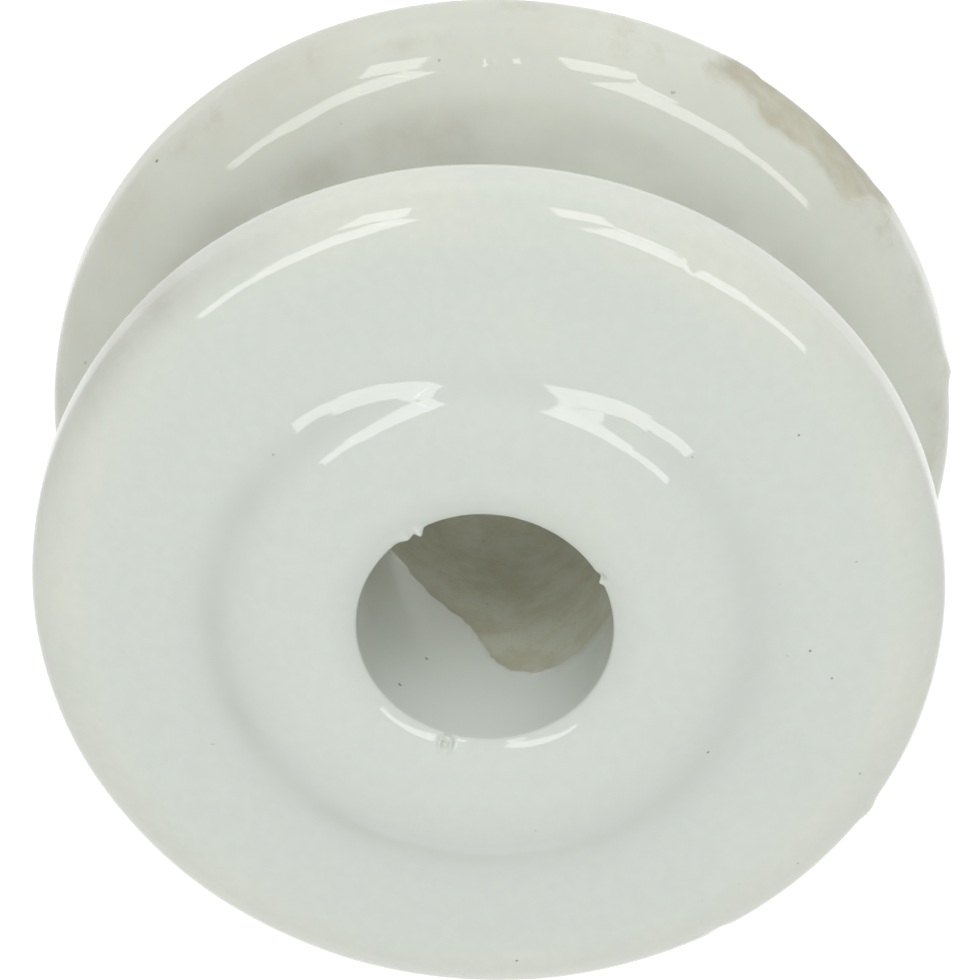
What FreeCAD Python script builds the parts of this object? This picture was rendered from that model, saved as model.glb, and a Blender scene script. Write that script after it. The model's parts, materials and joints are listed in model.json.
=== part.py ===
"""Fence corner insulator: a glazed porcelain spool with two flanges, a wire groove and a through bore.

The spool is drawn as one half-section, from its middle plane up to the front boss, turned about the bore
axis and mirrored. It stands on its rear boss, with +Z along the bore, and all sizes are in millimetres.
"""
import FreeCAD, Part
import math
import os
import Sketcher

SIZES = {
    "flange_diameter": 45.0,
    "body_height": 29.0,        # over both bosses
    "bore_diameter": 12.6,
    "mouth_radius": 0.9,        # rounding of the bore's mouths
    "boss_top_diameter": 19.0,  # flat ring on top of the boss
    "boss_height": 2.4,         # above the flange face at its foot
    "boss_edge_radius": 6.0,    # soft convex shoulder
    "boss_foot_radius": 9.0,    # wide hollow where the boss meets the flange
    "face_fall_angle": 9.5,     # degrees that the flange face falls towards its rim
    "edge_reach": 2.8,          # how far in from the rim the face starts to round over
    "edge_radius": 4.8,         # of that wide rounding
    "corner_radius": 1.4,       # tighter rounding between it and the rim
    "rim_width": 1.1,           # straight part of the rim
    "lip_corner_radius": 2.0,   # rounding between the rim and the groove's lip
    "lip_radius": 6.0,          # of the wide rounding from there into the groove
    "lip_reach": 2.8,           # how far in from the rim the lip ends
    "flank_angle": 20.0,        # degrees that the groove's flanks lean outwards
    "groove_depth": 9.35,       # from the rim to the core at the bottom of the wire groove
}

START = 1                      # ends of a sketch line or arc, and an arc's centre
END = 2
CENTRE = 3
HORIZONTAL_AXIS = -1
ORIGIN = (-1, 1)


def make_sizes(doc):
    """Put each driving size in its own cell, under its name."""
    sheet = doc.addObject("Spreadsheet::Sheet", "sizes")
    for row, (name, value) in enumerate(SIZES.items(), start=1):
        sheet.set("A%d" % row, name)
        sheet.set("B%d" % row, str(value))
        sheet.setAlias("B%d" % row, name)
    doc.recompute()
    return sheet


def origin_plane(body, role):
    """Return one of the body's own base planes."""
    for feature in body.Origin.OriginFeatures:
        if feature.Role == role:
            return feature
    raise ValueError("no plane " + role)


def point(x, y):
    return FreeCAD.Vector(x, y, 0)


def line(x0, y0, x1, y1):
    return Part.LineSegment(point(x0, y0), point(x1, y1))


def arc(x, y, radius, from_degrees, to_degrees):
    """Arc that runs anticlockwise between two directions from its centre."""
    circle = Part.Circle(point(x, y), FreeCAD.Vector(0, 0, 1), radius)
    return Part.ArcOfCircle(circle, math.radians(from_degrees), math.radians(to_degrees))


def first_outline(sheet):
    """Half-section near its final place. The constraints then settle it exactly."""
    bore = sheet.bore_diameter / 2
    rim = sheet.flange_diameter / 2
    top = sheet.body_height / 2
    mouth = sheet.mouth_radius
    shoulder = sheet.boss_top_diameter / 2
    shoulder_radius = sheet.boss_edge_radius
    foot_radius = sheet.boss_foot_radius
    fall = sheet.face_fall_angle
    edge = sheet.edge_radius
    corner = sheet.corner_radius
    lip_corner = sheet.lip_corner_radius
    lip = sheet.lip_radius
    flank = sheet.flank_angle
    core = rim - sheet.groove_depth

    # The boss wall is steepest where its shoulder turns into its foot.
    drop = shoulder_radius + foot_radius * math.cos(math.radians(fall)) - sheet.boss_height
    steepest = math.degrees(math.acos(drop / (shoulder_radius + foot_radius)))
    foot_x = shoulder + (shoulder_radius + foot_radius) * math.sin(math.radians(steepest))
    foot_y = top - shoulder_radius + drop
    face_x = foot_x - foot_radius * math.sin(math.radians(fall))
    face_y = top - sheet.boss_height

    # The face then falls to the rim, round a wide edge and a tighter corner.
    edge_end_x = rim - sheet.edge_reach
    edge_end_y = face_y - (edge_end_x - face_x) * math.tan(math.radians(fall))
    edge_x = edge_end_x - edge * math.sin(math.radians(fall))
    edge_y = edge_end_y - edge * math.cos(math.radians(fall))
    corner_x = rim - corner
    turn = math.degrees(math.asin((corner_x - edge_x) / (edge - corner)))
    rim_top = edge_y + (edge - corner) * math.cos(math.radians(turn))
    rim_bottom = rim_top - sheet.rim_width

    # The lip turns from the rim round a corner and a wide rounding of its own.
    across = math.sin(math.radians(flank))
    along = math.cos(math.radians(flank))
    lip_x = rim - sheet.lip_reach - lip * across
    lip_corner_x = rim - lip_corner
    lip_turn = math.degrees(math.asin((lip_corner_x - lip_x) / (lip - lip_corner)))
    lip_y = rim_bottom + (lip - lip_corner) * math.cos(math.radians(lip_turn))

    # The flank leans from the lip down to the groove's bottom, whose radius follows from it.
    flank_x = lip_x + lip * across
    flank_y = lip_y - lip * along
    groove = (flank_y * along - (flank_x - core) * across) / (1 - across)
    groove_x = core + groove

    return [
        line(bore, 0, bore, top - mouth),
        arc(bore + mouth, top - mouth, mouth, 90, 180),
        line(bore + mouth, top, shoulder, top),
        arc(shoulder, top - shoulder_radius, shoulder_radius, 90 - steepest, 90),
        arc(foot_x, foot_y, foot_radius, 270 - steepest, 270 - fall),
        line(face_x, face_y, edge_end_x, edge_end_y),
        arc(edge_x, edge_y, edge, 90 - turn, 90 - fall),
        arc(corner_x, rim_top, corner, 0, 90 - turn),
        line(rim, rim_top, rim, rim_bottom),
        arc(lip_corner_x, rim_bottom, lip_corner, 270 + lip_turn, 360),
        arc(lip_x, lip_y, lip, 270 + flank, 270 + lip_turn),
        line(flank_x, flank_y, groove_x - groove * across, groove * along),
        arc(groove_x, 0, groove, 90 + flank, 180),
        line(core, 0, bore, 0),
    ]


def draw_half_section(body):
    """Sketch the half-section on the body's XZ plane, each size tied to its cell."""
    sketch = body.newObject("Sketcher::SketchObject", "half_section")
    sketch.AttachmentSupport = [(origin_plane(body, "XZ_Plane"), "")]
    sketch.MapMode = "FlatFace"
    sheet = body.Document.getObject("sizes")
    outline = sketch.addGeometry(first_outline(sheet), False)
    bore, mouth, boss_top, shoulder, foot, face, edge, corner, rim = outline[:9]
    lip_corner, lip, flank, groove, middle = outline[9:]

    # Neighbours meet at a corner only on the middle plane. Everywhere else they run on smoothly.
    joins = [
        ("Tangent", bore, END, mouth, END),
        ("Tangent", mouth, START, boss_top, START),
        ("Tangent", boss_top, END, shoulder, END),
        ("Tangent", shoulder, START, foot, START),
        ("Tangent", foot, END, face, START),
        ("Tangent", face, END, edge, END),
        ("Tangent", edge, START, corner, END),
        ("Tangent", corner, START, rim, START),
        ("Tangent", rim, END, lip_corner, END),
        ("Tangent", lip_corner, START, lip, END),
        ("Tangent", lip, START, flank, START),
        ("Tangent", flank, END, groove, START),
        ("Coincident", groove, END, middle, START),
        ("Coincident", middle, END, bore, START),
        ("Vertical", bore),
        ("Vertical", rim),
        ("Horizontal", boss_top),
        ("PointOnObject", groove, CENTRE, HORIZONTAL_AXIS),
        ("PointOnObject", groove, END, HORIZONTAL_AXIS),
        ("PointOnObject", bore, START, HORIZONTAL_AXIS),
    ]
    for join in joins:
        sketch.addConstraint(Sketcher.Constraint(*join))

    half = "sizes.%s / 2"
    full = "sizes.%s"
    dimensions = [
        ("bore_diameter", half, ("DistanceX", *ORIGIN, bore, START)),
        ("flange_diameter", half, ("DistanceX", *ORIGIN, rim, START)),
        ("boss_top_diameter", half, ("DistanceX", *ORIGIN, boss_top, END)),
        ("body_height", half, ("DistanceY", *ORIGIN, boss_top, END)),
        ("boss_height", full, ("DistanceY", face, START, boss_top, END)),
        ("edge_reach", full, ("DistanceX", face, END, rim, START)),
        ("rim_width", full, ("DistanceY", rim, END, rim, START)),
        ("lip_reach", full, ("DistanceX", lip, START, rim, END)),
        ("groove_depth", full, ("DistanceX", groove, END, rim, START)),
        ("mouth_radius", full, ("Radius", mouth)),
        ("boss_edge_radius", full, ("Radius", shoulder)),
        ("boss_foot_radius", full, ("Radius", foot)),
        ("edge_radius", full, ("Radius", edge)),
        ("corner_radius", full, ("Radius", corner)),
        ("lip_corner_radius", full, ("Radius", lip_corner)),
        ("lip_radius", full, ("Radius", lip)),
    ]
    for name, rule, measure in dimensions:
        value = SIZES[name] / 2 if rule == half else SIZES[name]
        number = sketch.addConstraint(Sketcher.Constraint(*measure, value))
        sketch.renameConstraint(number, name)
        sketch.setExpression("Constraints." + name, rule % name)

    # The face runs outwards and down. The flank is drawn from the lip inwards, half a turn from its angle.
    leans = [
        ("face_fall_angle", face, -SIZES["face_fall_angle"], "-sizes.face_fall_angle"),
        ("flank_angle", flank, SIZES["flank_angle"] - 180, "sizes.flank_angle - 180"),
    ]
    for name, edge_line, degrees, rule in leans:
        number = sketch.addConstraint(Sketcher.Constraint("Angle", edge_line, math.radians(degrees)))
        sketch.renameConstraint(number, name)
        sketch.setExpression("Constraints." + name, rule)
    return sketch


def turn_half(body, sketch):
    """Turn the half-section about the bore axis."""
    turned = body.newObject("PartDesign::Revolution", "turned_half")
    turned.Profile = sketch
    turned.ReferenceAxis = (sketch, ["V_Axis"])
    turned.Angle = 360
    return turned


def mirror_half(body, turned):
    """Mirror the front half to the rear, and fuse the two on the middle plane."""
    mirrored = body.newObject("PartDesign::Mirrored", "both_halves")
    mirrored.Originals = [turned]
    mirrored.MirrorPlane = (origin_plane(body, "XY_Plane"), [""])
    body.Tip = mirrored
    return mirrored


def make_insulator(doc):
    """Build the spool about its middle plane, and stand it on its rear boss."""
    body = doc.addObject("PartDesign::Body", "insulator_body")
    body.Label = "insulator_body"
    sketch = draw_half_section(body)
    doc.recompute()
    turned = turn_half(body, sketch)
    doc.recompute()
    half_volume = turned.Shape.Volume
    mirror_half(body, turned)
    body.setExpression("Placement.Base.z", "sizes.body_height / 2")
    doc.recompute()
    if abs(body.Shape.Volume - 2 * half_volume) > 1e-4 * half_volume:
        raise ValueError("the mirrored half is missing")
    return body


def check(doc, parts):
    """Stop if any object failed, or if a sub-part is not one valid solid."""
    for thing in doc.Objects:
        if "Invalid" in thing.State or "Error" in thing.State:
            raise ValueError("%s failed: %s" % (thing.Name, thing.State))
    for part in parts:
        if part.Shape.isNull() or not part.Shape.isValid():
            raise ValueError(part.Label + " has no valid shape")
        if len(part.Shape.Solids) != 1:
            raise ValueError(part.Label + " is not one solid")


def main():
    doc = FreeCAD.newDocument("fence_corner_insulator")
    make_sizes(doc)
    parts = [make_insulator(doc)]
    check(doc, parts)
    os.makedirs("parts", exist_ok=True)
    for part in parts:
        part.Shape.exportStep("parts/%s.step" % part.Label)
        print("%s: %.1f mm3" % (part.Label, part.Shape.Volume))


main()
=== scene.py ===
"""Looks of a glazed porcelain corner insulator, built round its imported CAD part.

The spool is turned again here as one finer mesh, with the small faults of a dipped and fired piece: a
slightly wavy glaze, nicks at the bore and the rim, a bare patch on the rear rim and a bore that the glaze
only partly entered. Lengths below are in millimetres and angles in degrees, and the mesh is made in metres.
Azimuths turn about the bore axis from the picture's right side, over the top.
"""
import functools
import json
import math
import bpy
import numpy as np
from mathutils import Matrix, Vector, noise


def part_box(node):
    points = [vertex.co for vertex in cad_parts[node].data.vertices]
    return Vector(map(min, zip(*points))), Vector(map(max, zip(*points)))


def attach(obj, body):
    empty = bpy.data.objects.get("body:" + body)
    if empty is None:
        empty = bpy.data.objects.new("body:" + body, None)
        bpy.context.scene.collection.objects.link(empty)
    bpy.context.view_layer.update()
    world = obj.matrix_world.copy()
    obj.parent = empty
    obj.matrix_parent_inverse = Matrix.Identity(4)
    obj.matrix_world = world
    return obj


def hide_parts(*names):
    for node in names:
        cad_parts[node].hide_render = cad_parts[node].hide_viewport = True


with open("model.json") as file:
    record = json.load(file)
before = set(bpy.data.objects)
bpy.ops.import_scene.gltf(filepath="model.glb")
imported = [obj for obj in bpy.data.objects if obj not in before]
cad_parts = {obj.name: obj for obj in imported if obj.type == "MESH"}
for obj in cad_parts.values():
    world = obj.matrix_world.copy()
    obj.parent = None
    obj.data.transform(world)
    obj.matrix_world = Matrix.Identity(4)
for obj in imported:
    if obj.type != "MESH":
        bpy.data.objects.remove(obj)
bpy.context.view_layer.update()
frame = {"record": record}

NODE = "insulator_body"
MM = 0.001

# Camera: its axis passes through the middle of the spool, seen from the front face's side
CAMERA_TILT = 29.1
CAMERA_ROLL = 4.38
CAMERA_DISTANCE = 0.7468
CAMERA_LENS = 551.3
CAMERA_NEAR = 0.01
CAMERA_FAR = 50
SENSOR_WIDTH = 36.0
PICTURE = 980
MIDDLE_PX = (495.34, 491.05)

# Half-section of the spool, from its middle plane up
MOUTH_EDGE = 0.25
MOUTH_BROW = 3.4
MOUTH_SLOPE = 36
BOSS_TOP_RADIUS = 9.5
BOSS_HEIGHT = 2.4
BOSS_EDGE_RADIUS = 6.0
BOSS_FOOT_RADIUS = 9.0
FACE_FALL = 9.5
EDGE_REACH = 2.8
EDGE_RADIUS = 4.8
CORNER_RADIUS = 1.4
RIM_WIDTH = 1.1
LIP_CORNER_RADIUS = 2.0
LIP_RADIUS = 6.0
LIP_REACH = 2.8
FLANK_ANGLE = 20.0
GROOVE_DEPTH = 9.35

# Steps of the mesh round the spool, finer near small faults: azimuth, half width, how much denser
AZIMUTHS = 440
AZIMUTH_SAMPLES = 3601
FINE_AZIMUTHS = [
    (30, 5, 2.0),
    (70, 24, 0.8),
    (128, 6, 2.0),
    (257, 5, 2.5),
]

# Slow waves of the glaze's surface: waves per millimetre, rise
GLAZE_WAVES = [
    (0.16, 0.035),
    (0.55, 0.008),
]

# How deep the glaze reaches into the bore from the front, by azimuth, and from the rear
GLAZE_EDGE = [
    (0, 7.5),
    (90, 11.0),
    (180, 14.6),
    (228, 14.9),
    (250, 13.3),
    (264, 12.0),
    (276, 8.3),
    (289, 7.1),
    (303, 6.6),
    (320, 6.4),
    (345, 6.9),
]
EDGE_SOFTENING = 40
REAR_GLAZE = 1.6

# Rounds of softening between neighbours for the pooling, and how near the bore's radius its wall counts
POOL_SOFTENING = 6
BORE_WALL = 0.06

# Edge of the glaze: its step down to the clay, the bead before the step and its unevenness
GLAZE_THICKNESS = 0.12
STEP_FROM, STEP_TO = -0.25, 0.1
GLAZE_BEAD = 0.04
BEAD_BEFORE_EDGE = 0.4
BEAD_WIDTH = 0.25
RAGGED_SIZE = 0.18
RAGGED_WAVES = 0.9
FAR_FROM_CLAY = -5.0

# Bare patch on the rear rim, where the piece was held: its place, half sizes, squareness and unevenness
PATCH_AZIMUTH = 49.5
PATCH_BEFORE_CORNER = 0.7
PATCH_HALF_LENGTH = 5.5
PATCH_HALF_WIDTH = 1.95
PATCH_SQUARENESS = 2.4
SAME_PLACE = 0.001
PATCH_UNEVEN = 0.6
PATCH_WAVES = 0.4

# Crease where glaze pools round a boss, with painted shade in it that is clearest at one azimuth
CREASE_RADIUS = 13.4
CREASE_WIDTH = 0.8
CREASE_LEAST_HEIGHT = 12.0
CREASE_AZIMUTH = 200
CREASE_LEAST = 0.25
CREASE_MOST = 1.0

# Painted shade down in the groove: its greatest height from the middle, and the radii where it ends, is most
# and ends
SHADE_HEIGHT = 8.0
SHADE_OUTER = 20.6
SHADE_MOST = 17.2
SHADE_INNER = 14.5

# Stains of the rear rim and painted shade on the front rim: the radius where both start, and the stretch of
# the front rim with painted shade
STAIN_AND_SHADE_EDGE = 20.8
SHADED_AZIMUTH = 148
SHADED_HALF = 36

# Bumps and nicks: azimuth, radius, height over the rear boss, size, rise
FAULTS = [
    (331, 22.4, 24.4, 0.50, 0.16),
    (305, 22.3, 24.6, 0.40, -0.12),
    (152, 22.1, 25.0, 0.50, -0.08),
    (146, 22.1, 24.9, 0.35, 0.06),
    (12, 22.1, 25.0, 0.50, -0.07),
    (66, 22.3, 24.5, 0.30, 0.09),
    (64, 22.5, 23.7, 0.30, 0.09),
    (11, 22.5, 6.1, 0.60, 0.20),
    (125, 6.34, 28.25, 0.24, 0.36),
    (128, 6.45, 28.35, 0.20, -0.12),
    (131, 6.34, 28.25, 0.42, 0.22),
    (29, 6.34, 28.2, 0.16, 0.18),
    (31.5, 6.40, 28.3, 0.24, -0.16),
    (300, 6.3, 22.4, 0.35, 0.08),
    (95, 20.85, 8.46, 0.30, 0.10),
    (92.4, 20.88, 8.45, 0.30, 0.10),
    (75, 21.25, 8.15, 0.38, 0.05),
    (66, 20.9, 25.7, 0.30, 0.09),
]

# A burst bubble's ring on the lower edge of the bore: azimuth, radius, height, ring radius, width, rise
BUBBLE = (257, 6.75, 28.53, 0.31, 0.12, 0.19)

# Dark specks in the glaze: azimuth, radius, height, size
SPECKS = [
    (357, 16.02, 26.64, 0.09),
    (352, 17.36, 26.41, 0.08),
    (337, 20.65, 25.76, 0.07),
    (331, 13.06, 27.85, 0.10),
    (307, 14.85, 26.93, 0.07),
    (196, 14.16, 27.21, 0.06),
    (278, 20.45, 25.84, 0.09),
    (144, 22.30, 7.02, 0.13),
    (97, 17.21, 10.28, 0.10),
    (37, 18.20, 26.27, 0.08),
    (12, 14.52, 27.05, 0.06),
    (356, 14.94, 26.90, 0.06),
    (231, 6.30, 25.98, 0.14),
    (244, 6.30, 21.87, 0.12),
    (341, 6.30, 21.24, 0.12),
    (136, 7.01, 28.98, 0.07),
]

# Colours of the glaze, the bare clay and the dirt, with painted shade in some and painted light in the
# bore's glaze
GLAZE_WHITE = (0.655, 0.700, 0.640, 1)
GLAZE_CREAM = (0.710, 0.725, 0.630, 1)
GLAZE_POOLED_AND_SHADED = (0.585, 0.618, 0.562, 1)
GLAZE_REAR_SHADE = (0.590, 0.595, 0.505, 1)
GLAZE_BORE_PAINTED_LIGHT = (0.730, 0.765, 0.720, 1)
SPECK_BROWN = (0.130, 0.110, 0.080, 1)
CLAY_PALE = (0.625, 0.635, 0.535, 1)
CLAY_BROWN = (0.555, 0.535, 0.425, 1)
CLAY_RIM = (0.500, 0.480, 0.375, 1)
PAINTED_SHADE_GREY = (0.500, 0.500, 0.440, 1)
RIM_STAIN = (0.520, 0.490, 0.390, 1)

# Gloss of the glaze, how much the bore and the clay add to its roughness, and the height of fine bumps
GLAZE_ROUGHNESS = (0.025, 0.055)
BORE_ROUGHER = 0.12
CLAY_ROUGHER = 0.7
GLAZE_IOR = 1.5
PEEL_SHARE = 0.25
BUMP_HEIGHT = 0.05
BUMP_STRENGTH = 0.6

# Noises of the material: waves per metre, detail, roughness of the detail, seed
NOISES = {
    "thin": (150, 2.0, 0.5, 1.0),
    "blotch": (110, 3.0, 0.5, 2.0),
    "crease": (260, 2.0, 0.5, 3.0),
    "grain": (1500, 3.0, 0.5, 4.0),
    "specks": (2600, 0.0, 0.5, 5.0),
    "clay_stain": (420, 4.0, 0.65, 6.0),
    "clay_grains": (3200, 2.0, 0.6, 7.0),
    "ragged_edge": (1300, 3.0, 0.6, 8.0),
    "gloss": (700, 3.0, 0.5, 9.0),
    "peel": (520, 2.0, 0.5, 10.0),
    "grit": (4200, 4.0, 0.7, 11.0),
    "dust": (300, 5.0, 0.6, 12.0),
    "rim_stain": (210, 5.0, 0.65, 13.0),
    "mottle": (170, 4.0, 0.5, 14.0),
    "rim_dirt": (480, 4.0, 0.6, 15.0),
}

# Lamps: name, degrees to the right of the camera and above it, width and height in degrees, turn
LAMPS = [
    ("patch_left", -20.2, 13.0, 9.5, 10.2, 0),
    ("patch_right", 11.0, 13.2, 9.4, 9.8, 0),
    ("strip_left", -24.6, -4.0, 20.0, 9.0, 47),
    ("strip_right", 19.7, -4.7, 22.0, 9.5, -41),
    ("strip_end_left", -34.4, -14.5, 8.8, 5.8, 47),
    ("strip_end_right", 32.4, -15.7, 11.6, 6.0, -41),
    ("corner_left", -16.2, 3.9, 3.4, 7.4, 47),
    ("corner_right", 19.3, 4.2, 10.0, 3.0, -41),
]
LAMP_DISTANCE = 1.5
LAMP_STRENGTH = 3.8

# Soft light of the room: its colour, its even part, and lobes as direction, cosine where they end, strength
ROOM_COLOUR = (0.99, 0.995, 1.0, 1)
EVEN_LIGHT = 0.25
LOBES = [
    ((0.0, 0.80, 0.60), 0.80, 1.96),
    ((0.0, -0.80, 0.60), 0.75, 1.70),
    ((0.0, 0.34, 0.94), 0.94, 0.88),
]
WHITE = (1, 1, 1, 1)

# Floor: half its width in metres, then paint and glow as they light the object and as they are seen
FLOOR_HALF = 3.0
FLOOR_LIT = (0.35, 0.59)
FLOOR_SEEN = (0.8, 0.45)


def line(x0, y0, x1, y1, count, pool):
    """Rows of radius, height, normal and glaze pooling along a straight part, without its last point."""
    length = math.hypot(x1 - x0, y1 - y0)
    normal = (-(y1 - y0) / length, (x1 - x0) / length)
    shares = [i / count for i in range(count)]
    return [(x0 + t * (x1 - x0), y0 + t * (y1 - y0), *normal, pool) for t in shares]


def arc(x, y, radius, start, end, count, side, pool):
    """The same rows along a round part. Side is 1 where it bulges and -1 where it is hollow."""
    rows = []
    for i in range(count):
        angle = math.radians(start + i / count * (end - start))
        across, along = math.cos(angle), math.sin(angle)
        rows.append((x + radius * across, y + radius * along, side * across, side * along, pool))
    return rows


def mouth_rows(bore, top):
    """The bore's wall, the mouth's tight edge and wide brow, and the boss's flat top."""
    slope = math.radians(MOUTH_SLOPE)
    brow_x = bore + MOUTH_EDGE + (MOUTH_BROW - MOUTH_EDGE) * math.sin(slope)
    mouth_y = top - MOUTH_BROW + (MOUTH_BROW - MOUTH_EDGE) * math.cos(slope)
    return (
        line(bore, 0, bore, mouth_y, 18, 0.0)
        + arc(bore + MOUTH_EDGE, mouth_y, MOUTH_EDGE, 180, 90 + MOUTH_SLOPE, 5, 1, -0.4)
        + arc(brow_x, top - MOUTH_BROW, MOUTH_BROW, 90 + MOUTH_SLOPE, 90, 13, 1, -0.2)
        + line(brow_x, top, BOSS_TOP_RADIUS, top, 2, 0.0)
    )


def boss_rows(top):
    """The boss's shoulder and foot, with the place where the flange's face starts."""
    fall = math.radians(FACE_FALL)
    wall = BOSS_EDGE_RADIUS + BOSS_FOOT_RADIUS
    drop = BOSS_EDGE_RADIUS + BOSS_FOOT_RADIUS * math.cos(fall) - BOSS_HEIGHT
    steepest = math.degrees(math.acos(drop / wall))
    foot_x = BOSS_TOP_RADIUS + wall * math.sin(math.radians(steepest))
    foot_y = top - BOSS_EDGE_RADIUS + drop
    rows = (
        arc(BOSS_TOP_RADIUS, top - BOSS_EDGE_RADIUS, BOSS_EDGE_RADIUS, 90, 90 - steepest, 10, 1, -0.2)
        + arc(foot_x, foot_y, BOSS_FOOT_RADIUS, 270 - steepest, 270 - FACE_FALL, 12, -1, 0.2)
    )
    return rows, foot_x - BOSS_FOOT_RADIUS * math.sin(fall), top - BOSS_HEIGHT


def flange_rows(face_x, face_y, rim):
    """The flange's face, its rounded edge and its rim, with the height where the rim ends."""
    fall = math.radians(FACE_FALL)
    edge_end_x = rim - EDGE_REACH
    edge_end_y = face_y - (edge_end_x - face_x) * math.tan(fall)
    edge_x = edge_end_x - EDGE_RADIUS * math.sin(fall)
    edge_y = edge_end_y - EDGE_RADIUS * math.cos(fall)
    corner_x = rim - CORNER_RADIUS
    turn = math.degrees(math.asin((corner_x - edge_x) / (EDGE_RADIUS - CORNER_RADIUS)))
    rim_top = edge_y + (EDGE_RADIUS - CORNER_RADIUS) * math.cos(math.radians(turn))
    rim_bottom = rim_top - RIM_WIDTH
    rows = (
        line(face_x, face_y, edge_end_x, edge_end_y, 5, 0.0)
        + arc(edge_x, edge_y, EDGE_RADIUS, 90 - FACE_FALL, 90 - turn, 8, 1, -0.6)
        + arc(corner_x, rim_top, CORNER_RADIUS, 90 - turn, 0, 7, 1, -1.0)
        + line(rim, rim_top, rim, rim_bottom, 2, -1.0)
    )
    return rows, rim_bottom


def groove_rows(rim, rim_bottom):
    """The lip under the rim, the leaning flank and the groove's round bottom, to the middle plane."""
    across = math.sin(math.radians(FLANK_ANGLE))
    along = math.cos(math.radians(FLANK_ANGLE))
    lip_x = rim - LIP_REACH - LIP_RADIUS * across
    lip_corner_x = rim - LIP_CORNER_RADIUS
    lip_turn = math.degrees(math.asin((lip_corner_x - lip_x) / (LIP_RADIUS - LIP_CORNER_RADIUS)))
    lip_y = rim_bottom + (LIP_RADIUS - LIP_CORNER_RADIUS) * math.cos(math.radians(lip_turn))
    flank_x = lip_x + LIP_RADIUS * across
    flank_y = lip_y - LIP_RADIUS * along
    core = rim - GROOVE_DEPTH
    groove = (flank_y * along - (flank_x - core) * across) / (1 - across)
    groove_x = core + groove
    return (
        arc(lip_corner_x, rim_bottom, LIP_CORNER_RADIUS, 360, 270 + lip_turn, 6, 1, -0.9)
        + arc(lip_x, lip_y, LIP_RADIUS, 270 + lip_turn, 270 + FLANK_ANGLE, 8, 1, -0.5)
        + line(flank_x, flank_y, groove_x - groove * across, groove * along, 6, 0.1)
        + arc(groove_x, 0, groove, 90 + FLANK_ANGLE, 180, 9, -1, 0.5)
        + [(core, 0.0, 1.0, 0.0, 0.5)]
    )


def whole_section(bore, rim, top):
    """The half-section and its mirror image as one closed round, from the bore's middle and back to it.

    Heights are counted from the middle plane. Pooling is -1 where glaze runs thinnest and over 0 in hollows.
    """
    boss, face_x, face_y = boss_rows(top)
    flange, rim_bottom = flange_rows(face_x, face_y, rim)
    half = np.array(mouth_rows(bore, top) + boss + flange + groove_rows(rim, rim_bottom))
    half[0, 2:4] = (-1.0, 0.0)
    lower = half[1:-1][::-1].copy()
    lower[:, 1] *= -1
    lower[:, 3] *= -1
    return np.concatenate([half, lower])


def smooth_step(value, low, high):
    """Share from 0 at the low end to 1 at the high end. The low end may be the greater number."""
    share = np.clip((value - low) / (high - low), 0, 1)
    return share * share * (3 - 2 * share)


def softened(values, rounds):
    """Values along a closed round, each drawn towards its neighbours."""
    for _ in range(rounds):
        values = (np.roll(values, 1) + 2 * values + np.roll(values, -1)) / 4
    return values


def soft_noise(points, waves):
    """Noise from -1 to 1 at each point."""
    flat = points.reshape(-1, 3) * waves
    return np.array([noise.noise(Vector(p)) for p in flat]).reshape(points.shape[:2])


def turned_from(azimuths, middle):
    """Degrees from a middle azimuth, between -180 and 180."""
    return (azimuths - middle + 180) % 360 - 180


def azimuth_steps():
    """Azimuths of the mesh in degrees, closer together near small faults."""
    even = np.linspace(0, 360, AZIMUTH_SAMPLES)
    density = np.ones_like(even)
    for azimuth, half_width, denser in FINE_AZIMUTHS:
        density += denser * smooth_step(np.abs(turned_from(even, azimuth)), 2 * half_width, half_width)
    filled = np.concatenate([[0], np.cumsum((density[1:] + density[:-1]) / 2)])
    return np.interp(np.arange(AZIMUTHS) / AZIMUTHS * filled[-1], filled, even)


def on_spool(azimuth, radius, height):
    """Place of a fault, given by its height over the rear boss."""
    angle = math.radians(azimuth)
    return np.array((radius * math.cos(angle), radius * math.sin(angle), height))


def clay_in_bore(rows, azimuths, top):
    """How far each point of the bore lies beyond the edges of the glaze."""
    radius, height = rows[:, [0]], rows[:, [1]]
    even = np.arange(AZIMUTHS) * 360 / AZIMUTHS
    reach = softened(np.interp(even, *zip(*GLAZE_EDGE), period=360), EDGE_SOFTENING)
    reach = np.interp(azimuths, even, reach, period=360)
    inside = np.minimum(top - height - reach, top + height - REAR_GLAZE)
    return np.where(radius < BOSS_TOP_RADIUS, inside, FAR_FROM_CLAY)


def clay_in_patch(rows, points, azimuths):
    """How far each point lies inside the bare patch, measured along the section and round the rim."""
    run = np.concatenate([[0], np.cumsum(np.hypot(np.diff(rows[:, 0]), np.diff(rows[:, 1])))])
    widest = rows[:, 0] > rows[:, 0].max() - SAME_PLACE
    rear_corner = np.argmin(np.where(widest, rows[:, 1], rows[:, 1].max()))
    along = (run - run[rear_corner] + PATCH_BEFORE_CORNER)[:, None] / PATCH_HALF_WIDTH
    around = np.radians(turned_from(azimuths, PATCH_AZIMUTH)) * rows[rear_corner, 0] / PATCH_HALF_LENGTH
    powers = np.abs(along) ** PATCH_SQUARENESS + np.abs(around) ** PATCH_SQUARENESS
    inside = (1 - powers ** (1 / PATCH_SQUARENESS)) * PATCH_HALF_WIDTH
    return np.maximum(inside + PATCH_UNEVEN * soft_noise(points, PATCH_WAVES), FAR_FROM_CLAY)


def clay_distance(rows, points, azimuths, top):
    """How far each point lies inside bare clay. It is negative where glaze covers the clay."""
    inside = np.maximum(clay_in_bore(rows, azimuths, top), clay_in_patch(rows, points, azimuths))
    return inside + RAGGED_SIZE * soft_noise(points, RAGGED_WAVES)


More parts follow.
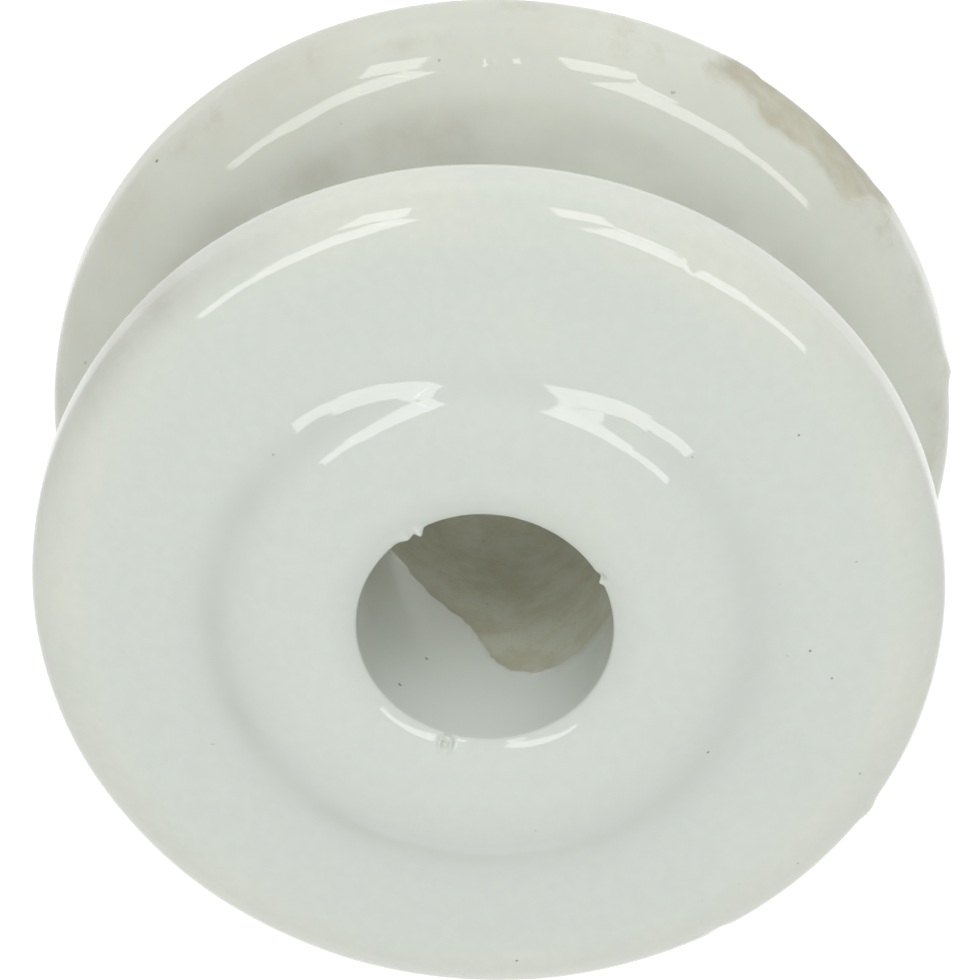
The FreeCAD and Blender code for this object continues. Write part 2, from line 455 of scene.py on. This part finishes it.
def displacement(points, clay):
    """How far the surface stands out along its normal."""
    rise = sum(wave_rise * soft_noise(points, waves) for waves, wave_rise in GLAZE_WAVES)
    rise -= GLAZE_THICKNESS * smooth_step(clay, STEP_FROM, STEP_TO)
    rise += GLAZE_BEAD * np.exp(-((clay + BEAD_BEFORE_EDGE) / BEAD_WIDTH) ** 2)
    for azimuth, radius, height, size, fault_rise in FAULTS:
        away = np.linalg.norm(points - on_spool(azimuth, radius, height), axis=2)
        rise += fault_rise * np.exp(-((away / size) ** 2))
    azimuth, radius, height, ring, width, ring_rise = BUBBLE
    away = np.linalg.norm(points - on_spool(azimuth, radius, height), axis=2)
    rise += ring_rise * (np.exp(-(((away - ring) / width) ** 2)) - np.exp(-((away / ring * 2) ** 2)))
    return rise


def surface_marks(rows, azimuths, bore, rim):
    """Shares, by name, that tell the material where glaze pools, where dirt lies and where shade and light
    are painted.
    """
    radius, height, _, _, pool = rows.T
    on_ring = np.ones(AZIMUTHS)

    # The crease carries pooled glaze and painted shade
    crease = np.exp(-(((radius - CREASE_RADIUS) / CREASE_WIDTH) ** 2))
    crease = crease * (np.abs(height) > CREASE_LEAST_HEIGHT)
    crease_swing = (1 + np.cos(np.radians(azimuths - CREASE_AZIMUTH))) / 2
    crease_around = CREASE_LEAST + (CREASE_MOST - CREASE_LEAST) * crease_swing

    # Painted shade down in the groove between the flanges, and on a stretch of the front rim
    between_flanges = (np.abs(height) < SHADE_HEIGHT) & (radius > BOSS_TOP_RADIUS)
    dust = smooth_step(radius, SHADE_OUTER, SHADE_MOST) * smooth_step(radius, SHADE_INNER, SHADE_MOST)
    on_rim = smooth_step(radius, STAIN_AND_SHADE_EDGE, rim)
    shade = smooth_step(np.abs(turned_from(azimuths, SHADED_AZIMUTH)), SHADED_HALF, 0)
    return {
        "pooling": np.outer(softened(pool, POOL_SOFTENING), on_ring),
        "crease": np.outer(crease, crease_around),
        "groove": np.outer(between_flanges * dust, on_ring),
        "in_bore": np.outer(smooth_step(radius, bore + BORE_WALL, bore), on_ring),
        "rear_rim": np.outer(on_rim * (height < 0), on_ring),
        "shaded_rim": np.outer(on_rim * (height > 0), shade),
    }


def ring_faces(rings):
    """Four-sided faces between neighbouring rings, closed both ways."""
    here = np.arange(rings)[:, None] * AZIMUTHS + np.arange(AZIMUTHS)
    ring_up = np.roll(here, -1, axis=0)
    turn = np.roll(here, -1, axis=1)
    both = np.roll(ring_up, -1, axis=1)
    return np.stack([here, turn, both, ring_up], axis=2).reshape(-1, 4)


def turned(across, upward, angles):
    """Points or directions of the section, turned about the bore axis to every azimuth."""
    level = np.broadcast_to(upward[:, None], (len(upward), AZIMUTHS))
    return np.stack([np.outer(across, np.cos(angles)), np.outer(across, np.sin(angles)), level], axis=2)


def make_spool():
    """Turn the section about the bore axis, and stand it where the CAD part stands."""
    low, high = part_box(NODE)
    rim = high.x / MM
    top = (high.z - low.z) / MM / 2
    bore = next(m["dims"]["r_mm"] for m in frame["record"]["mounts"] if m["name"] == "bore")
    rows = whole_section(bore, rim, top)
    azimuths = azimuth_steps()
    radius, height, out, upward, _ = rows.T
    points = turned(radius, height + top, np.radians(azimuths))
    normals = turned(out, upward, np.radians(azimuths))
    clay = clay_distance(rows, points, azimuths, top)
    points = points + normals * displacement(points, clay)[:, :, None]

    mesh = bpy.data.meshes.new("glazed_spool")
    mesh.from_pydata((points.reshape(-1, 3) * MM).tolist(), [], ring_faces(len(rows)).tolist())
    mesh.update()
    mesh.shade_smooth()
    marks = {"clay": clay, **surface_marks(rows, azimuths, bore, rim)}
    for name, values in marks.items():
        layer = mesh.attributes.new(name, "FLOAT", "POINT")
        layer.data.foreach_set("value", values.reshape(-1).astype(np.float32))
    spool = bpy.data.objects.new("glazed_spool", mesh)
    bpy.context.scene.collection.objects.link(spool)
    return spool


class Nodes:
    """Short way to make and join shader nodes."""

    def __init__(self, tree):
        self.tree = tree
        tree.nodes.clear()

    def add(self, kind, **settings):
        node = self.tree.nodes.new(kind)
        for name, value in settings.items():
            setattr(node, name, value)
        return node

    def join(self, output, socket):
        self.tree.links.new(output, socket)

    def set(self, socket, value):
        """Join an output, or store a plain value."""
        if isinstance(value, bpy.types.NodeSocket):
            self.join(value, socket)
        else:
            socket.default_value = value

    @functools.cached_property
    def place(self):
        """Place on the object, in metres."""
        return self.add("ShaderNodeTexCoord").outputs["Object"]

    def along(self, axis):
        """Place along one axis of the object."""
        node = self.add("ShaderNodeSeparateXYZ")
        self.join(self.place, node.inputs[0])
        return node.outputs[axis]

    def math(self, operation, first, second=0.0):
        node = self.add("ShaderNodeMath", operation=operation)
        self.set(node.inputs[0], first)
        self.set(node.inputs[1], second)
        return node.outputs[0]

    def product(self, first, *others):
        for other in others:
            first = self.math("MULTIPLY", first, other)
        return first

    def ramp(self, value, low, high, to_low=0.0, to_high=1.0):
        """Smooth change from to_low, at low, to to_high, at high."""
        node = self.add("ShaderNodeMapRange", interpolation_type="SMOOTHSTEP")
        for socket, number in zip(node.inputs[:5], (value, low, high, to_low, to_high)):
            self.set(socket, number)
        return node.outputs[0]

    def mix(self, share, first, second):
        node = self.add("ShaderNodeMix", data_type="RGBA")
        self.set(node.inputs["Factor"], share)
        self.set(node.inputs[6], first)
        self.set(node.inputs[7], second)
        return node.outputs[2]

    def noise(self, name):
        node = self.add("ShaderNodeTexNoise", noise_dimensions="4D")
        self.join(self.place, node.inputs["Vector"])
        for socket, number in zip(("Scale", "Detail", "Roughness", "W"), NOISES[name]):
            node.inputs[socket].default_value = number
        return node.outputs[0]

    def patchy(self, name, low, high, least=0.0, most=1.0):
        """Share that varies over the surface, from least to most, with one of the noises."""
        return self.ramp(self.noise(name), low, high, least, most)

    def dot(self, way, axis):
        node = self.add("ShaderNodeVectorMath", operation="DOT_PRODUCT")
        self.join(way, node.inputs[0])
        node.inputs[1].default_value = axis
        return node.outputs["Value"]

    def attribute(self, name):
        return self.add("ShaderNodeAttribute", attribute_name=name).outputs["Fac"]

    def spot(self, place, size):
        """Share that is 1 within a small round spot."""
        node = self.add("ShaderNodeVectorMath", operation="DISTANCE")
        self.join(self.place, node.inputs[0])
        node.inputs[1].default_value = place * MM
        return self.ramp(node.outputs["Value"], size * MM, 0.5 * size * MM)


def glaze_colour(n):
    """White glaze: creamy where it is thin and at the rear, with painted shade on the rear flange that
    deepens towards the left, greyer where it pools in the boss's crease and with painted shade there, and
    lighter on the bore's wall as painted light.
    """
    rear = n.ramp(n.along("Z"), 13 * MM, 8 * MM)
    thin = n.product(n.ramp(n.attribute("pooling"), -0.05, -0.8), n.patchy("thin", 0.3, 0.7, 0.35, 0.9))
    blotch = n.patchy("blotch", 0.5, 0.72, 0.0, 0.4)
    cream = n.math("MAXIMUM", n.math("MAXIMUM", thin, blotch), n.product(rear, 0.5))
    colour = n.mix(cream, GLAZE_WHITE, GLAZE_CREAM)
    # Painted shade: the rear flange darker and yellower, more so towards the left
    to_left = n.ramp(n.along("X"), 16 * MM, -16 * MM, 0.35, 1.0)
    rear_shade = n.product(rear, to_left, n.patchy("mottle", 0.25, 0.75, 0.35, 1.0))
    colour = n.mix(rear_shade, colour, GLAZE_REAR_SHADE)
    # Pooled glaze in the boss's crease, with painted shade there that is strongest at one azimuth
    pooled_and_shaded = n.product(n.attribute("crease"), n.patchy("crease", 0.3, 0.7, 0.5, 1.0))
    colour = n.mix(pooled_and_shaded, colour, GLAZE_POOLED_AND_SHADED)
    colour = n.mix(n.patchy("grain", 0.35, 0.65, 0.0, 0.16), colour, GLAZE_POOLED_AND_SHADED)
    # Painted light: the glaze on the bore's wall is made lighter than the glaze outside
    return n.mix(n.attribute("in_bore"), colour, GLAZE_BORE_PAINTED_LIGHT)


def clay_colour(n):
    """Fired clay with a brown stain and darker grains, dirtier in the patch on the rim."""
    colour = n.mix(n.patchy("clay_stain", 0.38, 0.66), CLAY_PALE, CLAY_BROWN)
    dirt = n.product(n.ramp(n.attribute("rear_rim"), 0.0, 0.3), n.patchy("rim_dirt", 0.36, 0.62, 0.3, 1.0))
    colour = n.mix(dirt, colour, CLAY_RIM)
    return n.mix(n.patchy("clay_grains", 0.66, 0.8, 0.0, 0.45), colour, SPECK_BROWN)


def shaded_and_stained(n, colour):
    """Painted shade down in the groove and on a stretch of the front rim, and brown stains along the rear
    rim.
    """
    patchy = n.patchy("dust", 0.3, 0.7, 0.45, 1.0)
    # Painted shade down in the groove, deeper towards the left
    to_left = n.ramp(n.along("X"), 3 * MM, -5 * MM, 0.5, 1.0)
    in_groove = n.product(n.ramp(n.attribute("groove"), 0.0, 1.0), to_left, patchy)
    colour = n.mix(in_groove, colour, PAINTED_SHADE_GREY)
    on_rim = n.product(n.ramp(n.attribute("rear_rim"), 0.0, 1.0), n.patchy("rim_stain", 0.5, 0.72, 0.0, 0.7))
    colour = n.mix(on_rim, colour, RIM_STAIN)
    # Painted shade on a stretch of the front rim
    return n.mix(n.product(n.attribute("shaded_rim"), patchy), colour, PAINTED_SHADE_GREY)


def speckled(n, colour):
    """Iron specks: the ones at known places, and a few smaller ones."""
    share = n.patchy("specks", 0.86, 0.9, 0.0, 0.5)
    for azimuth, radius, height, size in SPECKS:
        share = n.math("MAXIMUM", share, n.spot(Vector(on_spool(azimuth, radius, height)), size))
    return n.mix(n.product(share, 0.75), colour, SPECK_BROWN)


def porcelain_material():
    """Glaze over clay. The share of bare clay fades over a wider edge in the patch on the rim."""
    material = bpy.data.materials.new("glazed_porcelain")
    material.use_nodes = True
    n = Nodes(material.node_tree)
    ragged = n.patchy("ragged_edge", 0.2, 0.8, -0.14, 0.14)
    fade = n.ramp(n.attribute("rear_rim"), 0.0, 0.3, -0.16, -0.55)
    clay = n.ramp(n.math("ADD", n.attribute("clay"), ragged), fade, 0.12)

    shader = n.add("ShaderNodeBsdfPrincipled")
    bare_or_glazed = n.mix(clay, glaze_colour(n), clay_colour(n))
    n.join(speckled(n, shaded_and_stained(n, bare_or_glazed)), shader.inputs["Base Color"])
    gloss = n.patchy("gloss", 0.3, 0.7, *GLAZE_ROUGHNESS)
    satin = n.product(n.attribute("in_bore"), BORE_ROUGHER)
    roughness = n.math("ADD", n.math("ADD", gloss, satin), n.product(clay, CLAY_ROUGHER))
    n.join(roughness, shader.inputs["Roughness"])
    shader.inputs["IOR"].default_value = GLAZE_IOR

    bump = n.add("ShaderNodeBump")
    bump.inputs["Strength"].default_value = BUMP_STRENGTH
    bump.inputs["Distance"].default_value = BUMP_HEIGHT * MM
    peel = n.product(n.noise("peel"), PEEL_SHARE)
    grit = n.product(n.noise("grit"), clay)
    n.join(n.math("ADD", peel, grit), bump.inputs["Height"])
    n.join(bump.outputs[0], shader.inputs["Normal"])
    out = n.add("ShaderNodeOutputMaterial")
    n.join(shader.outputs[0], out.inputs["Surface"])
    return material


def camera_axes():
    """Unit vectors from the spool to the camera, to the picture's right and to its top."""
    tilt, roll = math.radians(CAMERA_TILT), math.radians(CAMERA_ROLL)
    toward = Vector((0, math.sin(tilt), math.cos(tilt)))
    level = Vector((1, 0, 0))
    rise = toward.cross(level)
    right = level * math.cos(roll) + rise * math.sin(roll)
    up = rise * math.cos(roll) - level * math.sin(roll)
    return toward, right, up


def aimed(thing, place, target, up):
    """Stand a lamp or camera at a place, looking at the target."""
    back = (place - target).normalized()
    right = up.cross(back).normalized()
    true_up = back.cross(right)
    matrix = thing.matrix_world.copy()
    for column, axis in enumerate((right, true_up, back)):
        for row in range(3):
            matrix[row][column] = axis[row]
    matrix.translation = place
    thing.matrix_world = matrix


def make_camera(middle):
    toward, right, up = camera_axes()
    data = bpy.data.cameras.new("camera")
    data.sensor_width = SENSOR_WIDTH
    data.lens = CAMERA_LENS
    data.clip_start = CAMERA_NEAR
    data.clip_end = CAMERA_FAR
    data.shift_x = (PICTURE / 2 - MIDDLE_PX[0]) / PICTURE
    data.shift_y = (MIDDLE_PX[1] - PICTURE / 2) / PICTURE
    camera = bpy.data.objects.new("camera", data)
    bpy.context.scene.collection.objects.link(camera)
    aimed(camera, middle + toward * CAMERA_DISTANCE, middle, up)
    bpy.context.scene.camera = camera


def make_lamps(middle):
    """Two windows as the glaze mirrors them, each a patch, a strip with a narrower end and a corner."""
    toward, right, up = camera_axes()
    for name, side, rise, width, height, turn in LAMPS:
        angle = math.radians(math.hypot(side, rise))
        across = (right * side + up * rise).normalized()
        way = toward * math.cos(angle) + across * math.sin(angle)
        data = bpy.data.lights.new(name, "AREA")
        data.shape = "RECTANGLE"
        data.size = 2 * LAMP_DISTANCE * math.tan(math.radians(width / 2))
        data.size_y = 2 * LAMP_DISTANCE * math.tan(math.radians(height / 2))
        data.energy = LAMP_STRENGTH * data.size * data.size_y * math.pi
        lamp = bpy.data.objects.new(name, data)
        bpy.context.scene.collection.objects.link(lamp)
        spin = math.radians(turn)
        aimed(lamp, middle + way * LAMP_DISTANCE, middle, up * math.cos(spin) - right * math.sin(spin))


def lit_or_seen(n, lit, seen):
    """One shader lights the object, and the other is what the camera and reflections see."""
    path = n.add("ShaderNodeLightPath")
    looked_at = n.math("MAXIMUM", path.outputs["Is Camera Ray"], path.outputs["Is Glossy Ray"])
    looked_at = n.math("MAXIMUM", looked_at, path.outputs["Is Transmission Ray"])
    mix = n.add("ShaderNodeMixShader")
    n.join(looked_at, mix.inputs[0])
    n.join(lit, mix.inputs[1])
    n.join(seen, mix.inputs[2])
    return mix.outputs[0]


def make_world():
    """Soft light in three wide lobes, in front of plain white."""
    world = bpy.data.worlds.new("world")
    bpy.context.scene.world = world
    world.use_nodes = True
    n = Nodes(world.node_tree)
    way = n.add("ShaderNodeTexCoord").outputs["Generated"]
    strength = EVEN_LIGHT
    for middle_way, edge, most in LOBES:
        lobe = n.ramp(n.dot(way, Vector(middle_way).normalized()), edge, 1.0, 0.0, most)
        strength = n.math("ADD", strength, lobe)
    light = n.add("ShaderNodeBackground")
    light.inputs["Color"].default_value = ROOM_COLOUR
    n.join(strength, light.inputs["Strength"])
    white = n.add("ShaderNodeBackground")
    white.inputs["Color"].default_value = WHITE
    white.inputs["Strength"].default_value = 1.0
    out = n.add("ShaderNodeOutputWorld")
    n.join(lit_or_seen(n, light.outputs[0], white.outputs[0]), out.inputs["Surface"])


def painted_and_glowing(n, paint, glow):
    """Plain grey paint that also gives off some light."""
    painted = n.add("ShaderNodeBsdfDiffuse")
    painted.inputs["Color"].default_value = (paint, paint, paint, 1)
    glowing = n.add("ShaderNodeEmission")
    glowing.inputs["Strength"].default_value = glow
    both = n.add("ShaderNodeAddShader")
    n.join(painted.outputs[0], both.inputs[0])
    n.join(glowing.outputs[0], both.inputs[1])
    return both.outputs[0]


def make_floor():
    mesh = bpy.data.meshes.new("floor")
    corners = [(-1, -1), (1, -1), (1, 1), (-1, 1)]
    mesh.from_pydata([(x * FLOOR_HALF, y * FLOOR_HALF, 0) for x, y in corners], [], [(0, 1, 2, 3)])
    floor = bpy.data.objects.new("floor", mesh)
    bpy.context.scene.collection.objects.link(floor)
    material = bpy.data.materials.new("pale_floor")
    material.use_nodes = True
    n = Nodes(material.node_tree)
    lit = painted_and_glowing(n, *FLOOR_LIT)
    seen = painted_and_glowing(n, *FLOOR_SEEN)
    out = n.add("ShaderNodeOutputMaterial")
    n.join(lit_or_seen(n, lit, seen), out.inputs["Surface"])
    mesh.materials.append(material)


spool = make_spool()
spool.data.materials.append(porcelain_material())
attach(spool, "root")
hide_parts(NODE)

low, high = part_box(NODE)
middle = (low + high) / 2
make_camera(middle)
make_lamps(middle)
make_world()
make_floor()
bpy.context.scene.view_settings.view_transform = "Standard"
